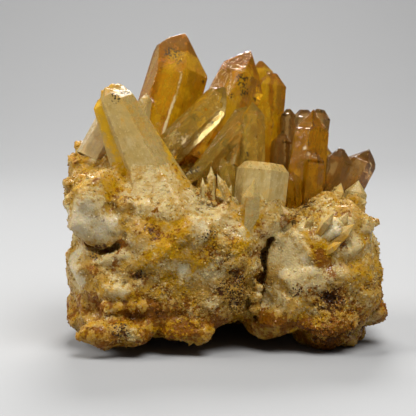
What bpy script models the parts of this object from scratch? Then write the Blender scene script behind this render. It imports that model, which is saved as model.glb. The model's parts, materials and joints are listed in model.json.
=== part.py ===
"""A golden healer quartz cluster: iron-stained quartz points fanning out of a block of milky quartz.

Metres, +Z up. +X runs along the block's long front, +Y goes from that front to the back, and the origin is
the middle of the cluster's footprint on the surface that it rests on. Sizes in the tables are millimetres.
"""

import math
import random
from dataclasses import dataclass

import bmesh
import bpy
from mathutils import Matrix, Vector, noise
from mathutils.bvhtree import BVHTree

MM = 0.001

# Driving dimensions, in millimetres.
JOINT_GAP = 0.35  # clear width between two pieces that grew against each other

# Quartz habit: six side faces round the long axis, closed by six tip faces.
SIDES = 6
TIP_TILT = math.radians(51.8)  # between a tip face's normal and the long axis
BLANK = 260.0  # side of the cube that a point is cleaved from
SNAP = 0.001  # a corner this close to a cut counts as on it

# The rough block.
ROCK_GRAIN = 1.5  # size of the cells that the lumps are melted together in
ROCK_TRIANGLES = 4000
SWELLS = ((15.0, 1.9), (7.0, 0.8))  # wavelength and height of the skin's rounded swells
RIDGES = (8.0, 1.7)  # and of its sharp ridges
CRUMB = 0.04  # a loose shell with less than this share of the faces is dropped
FAR = 90.0  # well outside the block

# Small points that line the block: how many, and how long and thick they are.
CRUST_SEED = 11
CRUST_COUNT = 34
CRUST_LENGTH = (6.0, 12.0)
CRUST_GIRTH = (1.4, 2.6)


@dataclass
class Point:
    """One quartz point. Lengths are millimetres, angles degrees."""

    foot: tuple  # centre of the buried end
    tip: tuple  # where its tip faces meet on the long axis
    girth: float  # from the long axis to a side face, at the foot
    roll: float = 10.0  # turns the side faces round the long axis
    taper: float = 1.0  # how far each side face leans inwards
    sides: tuple = (1.0,) * SIDES  # each side face's distance, as a share of girth
    drops: tuple = (0.0,) * SIDES  # how far below the tip each tip face cuts the long axis
    blunt: float = 0.0  # how far below the tip it is broken off square


# Each node's points. A later node stops where it meets an earlier one.
NODES = {
    "leaning_milky_crystal": [
        Point((-18, -22, 46), (-48, -12, 107), 13.5, roll=23, taper=6,
              sides=(0.9, 1, 1, 0.9, 1, 1), drops=(0, 0, 2, 3, 0, 3), blunt=6),
        Point((-38, -17, 69), (-48.5, -12, 100), 5.4, roll=0, taper=2, blunt=2.5),
        Point((-34, -9, 76), (-31, 0, 98.5), 2.7, roll=15),
    ],
    "left_clear_crystal": [
        Point((-52.6, -1.6, 72), (-40, 4, 94.5), 6.7),
    ],
    "tall_golden_crystal": [
        Point((-34, 5, 56), (-13.5, 23, 124.5), 12.2, roll=14,
              sides=(1, 1, 1, 0.93, 1.16, 1), drops=(4.5, 1, 0, -1.5, 5.5, 5.5)),
    ],
    "broad_golden_crystals": [
        Point((-10, 7, 70), (12, 19, 114.5), 11, roll=0, taper=2,
              sides=(1.1, 1, 1, 0.97, 1.03, 0.95), drops=(2, 0, 0, -1.5, 0, 0)),
        Point((17, 20, 60), (15, 30, 110.5), 5.2, roll=14, blunt=1),
        Point((13.5, 13, 58), (20, 22, 107), 7, roll=20, taper=2, blunt=2),
    ],
    "smoky_front_crystal": [
        Point((-28, -6, 71), (3, 2, 100.5), 5.8, roll=18, taper=0.5, drops=(3, 3, 1, -1.5, 0, 3)),
    ],
    "smoky_crystals": [
        Point((-13, -8, 62), (9, 0, 93.5), 4.3, roll=2, taper=2),
        Point((-18, -12, 60), (9.5, -5, 88.5), 3.6, roll=6),
        Point((10.5, -11, 56), (11, -5, 95.5), 4.8, roll=20),
        Point((0, -9, 58), (7, -3, 86), 3.3, roll=7),
        Point((4, -15, 54), (-1, -12, 74), 3.2, roll=20),
    ],
    "milky_block_crystal": [
        Point((12, -22, 46), (16, -16, 81), 9, roll=15, taper=0, blunt=8.5),
        Point((9.5, -26, 42), (11, -26, 67), 5.4, roll=12, taper=2, blunt=2),
    ],
    "right_golden_crystals": [
        Point((30, -6, 53), (35.5, 2, 92), 8.1, roll=0, taper=3, sides=(1.06, 1, 1, 0.97, 1.06, 0.93)),
        Point((33, -14, 51), (35.5, -10, 77), 4.2, roll=22, taper=2, blunt=1),
        Point((27.5, -14, 51), (26.5, -12, 69), 3.2, roll=5),
    ],
    "brown_crystals": [
        Point((25, 8, 56), (26, 15, 92), 3.2, blunt=1),
        Point((31, 11, 56), (32.5, 17, 92.5), 4.6, roll=25, blunt=2),
        Point((33, 11, 56), (39.5, 18, 92.5), 4.8, roll=8, blunt=2),
        Point((22, 3, 56), (23.5, 8, 83), 4.2, roll=20),
    ],
    "right_smoky_crystals": [
        Point((40.5, -5, 52), (47, 2, 77.5), 6, roll=10, blunt=1.5),
        Point((45, 3, 52), (58.5, 10, 76), 5.8, roll=14, drops=(-2, 1, 1, 1, 0, 0)),
    ],
    "back_left_crystal": [
        Point((-40, 22, 54), (-48, 38, 88), 8, roll=5, drops=(0, 3, 0, 0, 2, 0)),
    ],
    "back_tall_crystal": [
        Point((-12, 30, 52), (-17, 48, 92), 9, roll=12, drops=(0, 4, 2, 0, 0, 0)),
    ],
    "back_middle_crystal": [
        Point((10, 32, 46), (14, 52, 78), 7.5, roll=8, drops=(3, 0, 0, 0, 0, 2)),
    ],
    "back_right_crystal": [
        Point((34, 24, 48), (40, 40, 78), 7, roll=18, drops=(0, 2, 0, 3, 0, 0)),
    ],
}

# Colour (linear), roughness and metallic of each node's stone.
FINISHES = {
    "milky_quartz_base": ((0.58, 0.47, 0.24, 1), 0.6, 0.0),
    "leaning_milky_crystal": ((0.62, 0.52, 0.28, 1), 0.4, 0.0),
    "milky_block_crystal": ((0.62, 0.54, 0.34, 1), 0.4, 0.0),
    "left_clear_crystal": ((0.60, 0.54, 0.40, 1), 0.3, 0.0),
    "smoky_front_crystal": ((0.40, 0.30, 0.12, 1), 0.2, 0.0),
    "smoky_crystals": ((0.26, 0.17, 0.06, 1), 0.2, 0.0),
    "brown_crystals": ((0.24, 0.13, 0.05, 1), 0.25, 0.0),
    "right_smoky_crystals": ((0.20, 0.11, 0.05, 1), 0.2, 0.0),
}
GOLDEN = ((0.48, 0.28, 0.07, 1), 0.2, 0.0)

# The block is two lofts side by side: an upright outline (x, z), shrunk about a centre from front to back.
LEFT_OUTLINE = (
    (-50, 4), (-36, 4.5), (-22, 4.5), (-10, 6), (2, 9), (9, 14), (14, 24), (15, 38), (22, 46), (24, 54),
    (8, 61), (-10, 62), (-26, 65), (-42, 69), (-54, 71), (-61, 64), (-63, 60), (-60, 48), (-57, 42),
    (-61, 35), (-62, 27), (-60, 17), (-62, 9), (-59, 6),
)
LEFT_CENTRE = (-20, 30)
LEFT_SLICES = ((-38, 0.45), (-35, 0.74), (-30, 0.91), (-20, 1), (5, 1), (25, 0.95), (37, 0.8), (45, 0.5))
RIGHT_OUTLINE = (
    (5, 6), (26, 5), (36, 3.5), (46, 3.5), (53, 6), (56, 9), (57.5, 15), (61, 21), (61.5, 29), (60, 38),
    (57, 45), (54, 52), (50, 58), (40, 60), (26, 55), (18, 46), (13, 34), (9, 18),
)
RIGHT_CENTRE = (36, 28)
RIGHT_SLICES = ((-35, 0.45), (-32, 0.74), (-27, 0.91), (-17, 1), (5, 1), (22, 0.95), (33, 0.8), (41, 0.5))

# Lumps melted into the block: centre and half sizes.
LUMPS = (
    ((-51, -28, 57), (11, 11, 15)),  # the lobe that hangs proud at the left
    ((-22, 12, 58), (20, 17, 17)),  # the root that the tall points fan out of
    ((16, 10, 52), (20, 16, 14)),
    ((40, 2, 50), (16, 14, 12)),
    ((-51.5, -1, 68.5), (11, 11, 10.5)),
    ((-44, 3, 7), (16, 20, 8.5)),  # left foot
    ((40, -12, 7), (16, 20, 8.5)),  # right foot
    ((0, 32, 7), (26, 10, 8.5)),  # back foot
    ((-39, -38, 25), (8, 4, 3)),  # ledges on the front
    ((-43, -37, 10), (15, 5.5, 5)),
    ((-16, -35, 28), (9, 4, 4)),
    ((-14, -36, 10), (12, 4, 4)),
    ((40, -33, 12), (12, 5, 5)),
    ((28, -34, 30), (8, 4, 5)),
    ((50, -26, 34), (9, 6, 7)),
    ((-12, -36, 48), (10, 4, 6)),
    ((2, -36, 40), (7, 4, 7)),
)

# Clefts down the front: how deep they go in (y), then the path (x, z) with its half width.
CLEFTS = {
    "between the two halves": (-20, (
        (29, 53, 0.4), (24, 49, 0.8), (19, 46, 1.2), (15.5, 42, 1.7), (14.5, 37, 1.5), (15.5, 32, 1.0),
        (13.5, 27, 1.3), (13, 20, 1.0), (11.5, 14, 0.8), (12, 6, 0.5),
    )),
    "under the left lobe": (-28, (
        (-65, 51, 1.3), (-58.5, 46.5, 1.5), (-54, 42.5, 1.2), (-48, 40, 1.0), (-42.5, 41.5, 1.4),
        (-39.5, 46, 1.8), (-38.5, 52, 1.2), (-40, 58, 0.6),
    )),
    "under the lower ledge": (-33, (
        (-49, 21, 0.4), (-43, 19, 1.3), (-38, 20.5, 1.0), (-32, 18.5, 1.6), (-27, 21, 0.9), (-23, 20, 0.4),
    )),
}

# Pits in the front: where (x, z), and how wide. They are flattened, and turned by how far right they lie.
PITS = (
    (-33, 32, 3.8), (-38, 29, 1.8), (24, 24.5, 2.8), (40, 22.5, 4.2), (33, 20, 2.0), (47.5, 43, 2.4),
    (-5, 43, 1.7), (2, 33, 1.7), (-20, 37, 1.4), (55, 26, 2.0), (-28, 9, 1.7),
)
PIT_SHAPE = (1.0, 0.8, 0.6)
PIT_TURN = 0.02  # radians for each millimetre to the right

# Small points at the front rim, fused to the block.
RIM_POINTS = (
    Point((4, -30, 54), (-2.2, -27, 67.5), 1.7, blunt=0),
    Point((-8, -28, 56), (-8.6, -26, 66.5), 1.4),
    Point((-5, -27, 55), (-5.4, -24, 70), 1.8, roll=25),
    Point((-12, -28, 56), (-13, -27, 64.5), 1.3),
    Point((-1, -29, 54), (2, -27, 64), 1.5),
    Point((41, -17, 50), (45, -13, 62.5), 3.4, roll=20),
    Point((49, -10, 46), (52.5, -6, 62), 4.4, roll=5),
    Point((35.5, -30, 43), (44.5, -36, 50.5), 2.0, roll=15),
    Point((39, -30, 41.5), (47.5, -35.5, 47.5), 1.7, roll=25),
    Point((34.5, -29, 46), (40.5, -34.5, 53), 1.6, roll=5),
    Point((33, -24, 46), (36, -24, 55), 2.6, roll=10),
    Point((24, -26, 46), (22, -27, 56), 2.8, roll=28),
    Point((48, -13, 10), (66.5, -17, 16.5), 4.8, roll=12, blunt=3.5),
    Point((52, -18, 36), (56, -23, 45), 2.2, roll=18),
    Point((-58, -22, 62), (-62, -25, 68), 2.0, roll=18),
)


def axes_of(point):
    """The point's own frame: long axis Z, and X as level and as far along the cluster's +X as it can be."""
    foot = Vector(point.foot)
    along = (Vector(point.tip) - foot).normalized()
    across = Vector((0, 1, 0)).cross(along).normalized()
    frame = Matrix((across, along.cross(across), along)).transposed().to_4x4()
    return Matrix.Translation(foot) @ frame


def cleave(bm, place, normal):
    """Splits off what lies beyond a plane and closes the split with one flat face."""
    cut = bmesh.ops.bisect_plane(
        bm, geom=bm.verts[:] + bm.edges[:] + bm.faces[:], dist=SNAP,
        plane_co=place, plane_no=normal, clear_outer=True,
    )
    rim = [item for item in cut["geom_cut"] if isinstance(item, bmesh.types.BMEdge)]
    if any(edge.is_boundary for edge in rim):
        bmesh.ops.edgenet_fill(bm, edges=rim)


def quartz_point(point, grow=0.0):
    """A closed quartz point in millimetres. grow moves each of its faces outwards."""
    length = (Vector(point.tip) - Vector(point.foot)).length
    lean = math.radians(point.taper)
    bm = bmesh.new()
    bmesh.ops.create_cube(bm, size=BLANK)
    cleave(bm, Vector((0, 0, -grow)), Vector((0, 0, -1)))
    for k in range(SIDES):
        turn = math.radians(point.roll) + k * math.tau / SIDES
        outwards = Vector((math.cos(turn), math.sin(turn), 0))
        side = outwards * math.cos(lean) + Vector((0, 0, math.sin(lean)))
        cleave(bm, outwards * point.girth * point.sides[k] + side * grow, side)
        top = outwards * math.sin(TIP_TILT) + Vector((0, 0, math.cos(TIP_TILT)))
        cleave(bm, Vector((0, 0, length - point.drops[k])) + top * grow, top)
    if point.blunt:
        cleave(bm, Vector((0, 0, length - point.blunt + grow)), Vector((0, 0, 1)))
    bm.transform(axes_of(point))
    bmesh.ops.recalc_face_normals(bm, faces=bm.faces)
    return bm


def new_object(name, bm):
    """Links the millimetre mesh as an object in metres, and frees it."""
    bm.transform(Matrix.Scale(MM, 4))
    mesh = bpy.data.meshes.new(name)
    bm.to_mesh(mesh)
    bm.free()
    made = bpy.data.objects.new(name, mesh)
    bpy.context.scene.collection.objects.link(made)
    return made


def apply_modifier(obj, kind, **settings):
    """Adds a modifier, makes its result the object's mesh and takes it off again."""
    modifier = obj.modifiers.new(kind.title(), kind)
    for key, value in settings.items():
        setattr(modifier, key, value)
    depsgraph = bpy.context.evaluated_depsgraph_get()
    result = bpy.data.meshes.new_from_object(obj.evaluated_get(depsgraph))
    obj.modifiers.remove(modifier)
    before = obj.data
    obj.data = result
    bpy.data.meshes.remove(before)


def combine(obj, points, operation, grow=0.0):
    """Joins quartz points to an object, or cuts them out of it."""
    for point in points:
        tool = new_object("tool", quartz_point(point, grow))
        combine_tool(obj, tool, operation)


def combine_tool(obj, tool, operation):
    apply_modifier(obj, "BOOLEAN", operation=operation, object=tool, solver="EXACT")
    mesh = tool.data
    bpy.data.objects.remove(tool)
    bpy.data.meshes.remove(mesh)


def keep_main_shell(obj):
    """Drops the crumbs that cutting leaves beside the main shell."""
    bm = bmesh.new()
    bm.from_mesh(obj.data)
    seen = set()
    shells = []
    for face in bm.faces:
        if face in seen:
            continue
        shell = {face}
        queue = [face]
        while queue:
            for edge in queue.pop().edges:
                fresh = [other for other in edge.link_faces if other not in shell]
                shell.update(fresh)
                queue.extend(fresh)
        seen |= shell
        shells.append(shell)
    main = max(shells, key=len)
    loose = [face for shell in shells if shell is not main for face in shell]
    if len(loose) > CRUMB * len(bm.faces):
        print(f"{obj.name}: {len(shells)} shells, {len(loose)} loose faces of {len(bm.faces)}")
    bmesh.ops.delete(bm, geom=loose, context="FACES")
    bm.to_mesh(obj.data)
    bm.free()


def loft(bm, outline, centre, slices):
    """Adds a closed block: the upright outline, shrunk about its centre at each slice's depth."""
    rings = []
    for depth, share in slices:
        ring = [
            bm.verts.new((centre[0] + (x - centre[0]) * share, depth, centre[1] + (z - centre[1]) * share))
            for x, z in outline
        ]
        rings.append(ring)
    for ring, following in zip(rings, rings[1:]):
        for n, corner in enumerate(ring):
            bm.faces.new((ring[n - 1], corner, following[n], following[n - 1]))
    bm.faces.new(rings[0])
    bm.faces.new(rings[-1])


def roughness(place):
    """How far the rough block's skin swells or sinks at a place, in millimetres."""
    rounded = sum(height * 2 * noise.noise(place / wavelength) for wavelength, height in SWELLS)
    wavelength, height = RIDGES
    return rounded + height * (0.5 - 2 * abs(noise.noise(place / wavelength + Vector((7, 7, 7)))))


def rough_block():
    """The milky block: lofts and lumps melted together, roughened and cut flat underneath."""
    bm = bmesh.new()
    loft(bm, LEFT_OUTLINE, LEFT_CENTRE, LEFT_SLICES)
    loft(bm, RIGHT_OUTLINE, RIGHT_CENTRE, RIGHT_SLICES)
    for centre, radii in LUMPS:
        bmesh.ops.create_icosphere(
            bm, subdivisions=3, radius=1,
            matrix=Matrix.Translation(centre) @ Matrix.Diagonal((*radii, 1)),
        )
    bmesh.ops.recalc_face_normals(bm, faces=bm.faces)
    rock = new_object("milky_quartz_base", bm)
    apply_modifier(rock, "REMESH", mode="VOXEL", voxel_size=ROCK_GRAIN * MM)
    bm = bmesh.new()
    bm.from_mesh(rock.data)
    for vertex in bm.verts:
        vertex.co += vertex.normal * roughness(vertex.co / MM) * MM
    bm.to_mesh(rock.data)
    bm.free()
    apply_modifier(rock, "REMESH", mode="VOXEL", voxel_size=ROCK_GRAIN * MM)
    apply_modifier(rock, "DECIMATE", ratio=ROCK_TRIANGLES / (2 * len(rock.data.polygons)))
    return rock


def floor_cutter():
    """Everything below the surface that the cluster rests on."""
    bm = bmesh.new()
    bmesh.ops.create_cube(bm, size=2 * FAR, matrix=Matrix.Translation((0, 0, -FAR)))
    return new_object("floor", bm)


def cleft_cutter(floor, path):
    """A thin wall that follows a cleft's path, from in front of the block to the cleft's floor."""
    bm = bmesh.new()
    rings = []
    for depth in (-FAR, floor):
        ring = []
        for side in (-1, 1):
            edge = []
            for n, (x, z, half) in enumerate(path):
                start, end = path[max(n - 1, 0)], path[min(n + 1, len(path) - 1)]
                run = Vector((end[0] - start[0], end[1] - start[1])).normalized()
                edge.append(bm.verts.new((x - side * half * run.y, depth, z + side * half * run.x)))
            ring += edge[::side]
        rings.append(ring)
    for n, corner in enumerate(rings[0]):
        bm.faces.new((rings[0][n - 1], corner, rings[1][n], rings[1][n - 1]))
    for ring in rings:
        bm.faces.new(ring)
    bmesh.ops.recalc_face_normals(bm, faces=bm.faces)
    return new_object("cleft", bm)


def pit_cutter(skin, x, z, width):
    """A faceted hollow centred on the block's front skin."""
    place = skin.ray_cast(Vector((x, -FAR, z)) * MM, Vector((0, 1, 0)))[0]
    turn = Matrix.Rotation(PIT_TURN * x, 4, "Y")
    bm = bmesh.new()
    bmesh.ops.create_icosphere(
        bm, subdivisions=1, radius=width,
        matrix=Matrix.Translation(place / MM) @ turn @ Matrix.Diagonal((*PIT_SHAPE, 1)),
    )
    return new_object("pit", bm)


def crust_points(skin):
    """Small points that stand out of the block's top and back at random."""
    dice = random.Random(CRUST_SEED)
    points = []
    while len(points) < CRUST_COUNT:
        towards = Vector((dice.uniform(-1, 1), dice.uniform(-0.1, 1), dice.uniform(0.1, 0.8))).normalized()
        centre = Vector((dice.uniform(-42, 42), dice.uniform(-5, 15), dice.uniform(15, 42)))
        place, normal, _, _ = skin.ray_cast((centre + towards * 2 * FAR) * MM, -towards)
        if place is None or place.y < -0.01:
            continue
        place /= MM
        lean = (normal + towards + Vector((0, 0, 0.3))).normalized()
        length = dice.uniform(*CRUST_LENGTH)
        girth = dice.uniform(*CRUST_GIRTH)
        points.append(Point(tuple(place - lean * 3), tuple(place + lean * (length - 3)), girth,
                            roll=dice.uniform(0, 60)))
    return points


def stone(name):
    """The node's own material."""
    colour, rough, metallic = FINISHES.get(name, GOLDEN)
    material = bpy.data.materials.new(f"{name}_stone")
    material.use_nodes = True
    shader = material.node_tree.nodes["Principled BSDF"]
    shader.inputs["Base Color"].default_value = colour
    shader.inputs["Roughness"].default_value = rough
    shader.inputs["Metallic"].default_value = metallic
    return material


def build_crystals():
    """Each node's points joined in one solid, and parted from the nodes that come before it."""
    made = []
    earlier = []
    for name, points in NODES.items():
        obj = new_object(name, quartz_point(points[0]))
        combine(obj, points[1:], "UNION")
        combine(obj, earlier, "DIFFERENCE", JOINT_GAP)
        keep_main_shell(obj)
        earlier += points
        made.append(obj)
    return made


def build_base():
    """The rough block with its clefts, pits, small points and sockets."""
    rock = rough_block()
    skin = BVHTree.FromObject(rock, bpy.context.evaluated_depsgraph_get())
    combine(rock, [*RIM_POINTS, *crust_points(skin)], "UNION")
    for x, z, width in PITS:
        combine_tool(rock, pit_cutter(skin, x, z, width), "DIFFERENCE")
    for floor, path in CLEFTS.values():
        combine_tool(rock, cleft_cutter(floor, path), "DIFFERENCE")
    combine_tool(rock, floor_cutter(), "DIFFERENCE")
    for points in NODES.values():
        combine(rock, points, "DIFFERENCE", JOINT_GAP)
    keep_main_shell(rock)
    return rock


def seat(objects):
    """Moves the cluster so that the middle of its footprint is the origin."""
    corners = [vertex.co for obj in objects for vertex in obj.data.vertices]
    middle = [(min(co[axis] for co in corners) + max(co[axis] for co in corners)) / 2 for axis in (0, 1)]
    for obj in objects:
        obj.data.transform(Matrix.Translation((-middle[0], -middle[1], 0)))


def main():
    for obj in list(bpy.data.objects):
        bpy.data.objects.remove(obj)
    pieces = [build_base(), *build_crystals()]
    seat(pieces)
    for piece in pieces:
        piece.data.materials.clear()
        piece.data.materials.append(stone(piece.name))


main()
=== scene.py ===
"""Looks of a golden healer quartz cluster: stained quartz points on a rough block of milky quartz.

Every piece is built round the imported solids. Places in the tables are millimetres in the cluster's own
growing frame: X along the block's long front, Y from that front to the back, Z up from the table. The
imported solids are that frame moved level, so place() takes a table entry to the scene's metres.
"""

import json
import math
import random

import bmesh
import bpy
import numpy as np
from bpy.props import (
    FloatProperty,
    FloatVectorProperty,
    IntProperty,
    PointerProperty,
)
from mathutils import Matrix, Vector, noise
from mathutils.bvhtree import BVHTree

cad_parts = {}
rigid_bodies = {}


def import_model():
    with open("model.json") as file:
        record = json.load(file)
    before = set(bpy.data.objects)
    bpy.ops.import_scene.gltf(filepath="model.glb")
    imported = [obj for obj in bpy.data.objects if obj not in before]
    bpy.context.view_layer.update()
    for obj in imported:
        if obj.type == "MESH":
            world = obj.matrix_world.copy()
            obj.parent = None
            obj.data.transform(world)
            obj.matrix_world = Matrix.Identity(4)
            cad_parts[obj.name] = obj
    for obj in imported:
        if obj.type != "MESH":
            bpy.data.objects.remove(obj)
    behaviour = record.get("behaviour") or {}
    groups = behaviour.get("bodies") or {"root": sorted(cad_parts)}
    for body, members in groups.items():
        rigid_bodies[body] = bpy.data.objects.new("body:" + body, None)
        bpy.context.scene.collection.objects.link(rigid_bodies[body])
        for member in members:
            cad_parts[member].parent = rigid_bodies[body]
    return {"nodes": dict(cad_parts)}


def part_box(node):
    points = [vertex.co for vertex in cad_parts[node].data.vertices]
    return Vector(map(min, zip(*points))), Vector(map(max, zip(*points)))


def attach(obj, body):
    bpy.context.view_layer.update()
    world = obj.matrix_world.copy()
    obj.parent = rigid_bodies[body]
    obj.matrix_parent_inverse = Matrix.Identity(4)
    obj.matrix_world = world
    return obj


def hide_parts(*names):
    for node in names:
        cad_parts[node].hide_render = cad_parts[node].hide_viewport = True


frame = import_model()

bl_info = {
    "name": "Golden Healer Quartz Cluster",
    "version": (1, 0, 0),
    "blender": (4, 5, 0),
    "location": "View3D > Sidebar > Quartz",
    "description": "Dresses the quartz cluster's solids in stone, and sets up its table, lights and camera",
    "category": "Object",
}

MM = 0.001

# The tall crystal's right, back corner in the growing frame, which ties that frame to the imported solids.
TALL_CORNER = (-6.79, 31.44)

QUARTZ_IOR = 1.544
SHEEN = 0.12  # specular level: dusty faces shine less than clean ones
GLOW_DEPTH = 3 * MM  # how deep light goes under milky quartz


def seat():
    """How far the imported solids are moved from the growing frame, in metres."""
    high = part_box("tall_golden_crystal")[1]
    return Vector((high.x - TALL_CORNER[0] * MM, high.y - TALL_CORNER[1] * MM, 0))


SEAT = seat()


def place(spot):
    """A spot of the growing frame, in the scene's metres."""
    return Vector(spot) * MM + SEAT


# -----------------------------------------------------------------------------
# Where the stone changes: centre, reach and strength of each soft patch, or start, end, reach and strength
# of a soft streak. Those in front of the block are moved onto its face by settled_patches().

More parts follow.
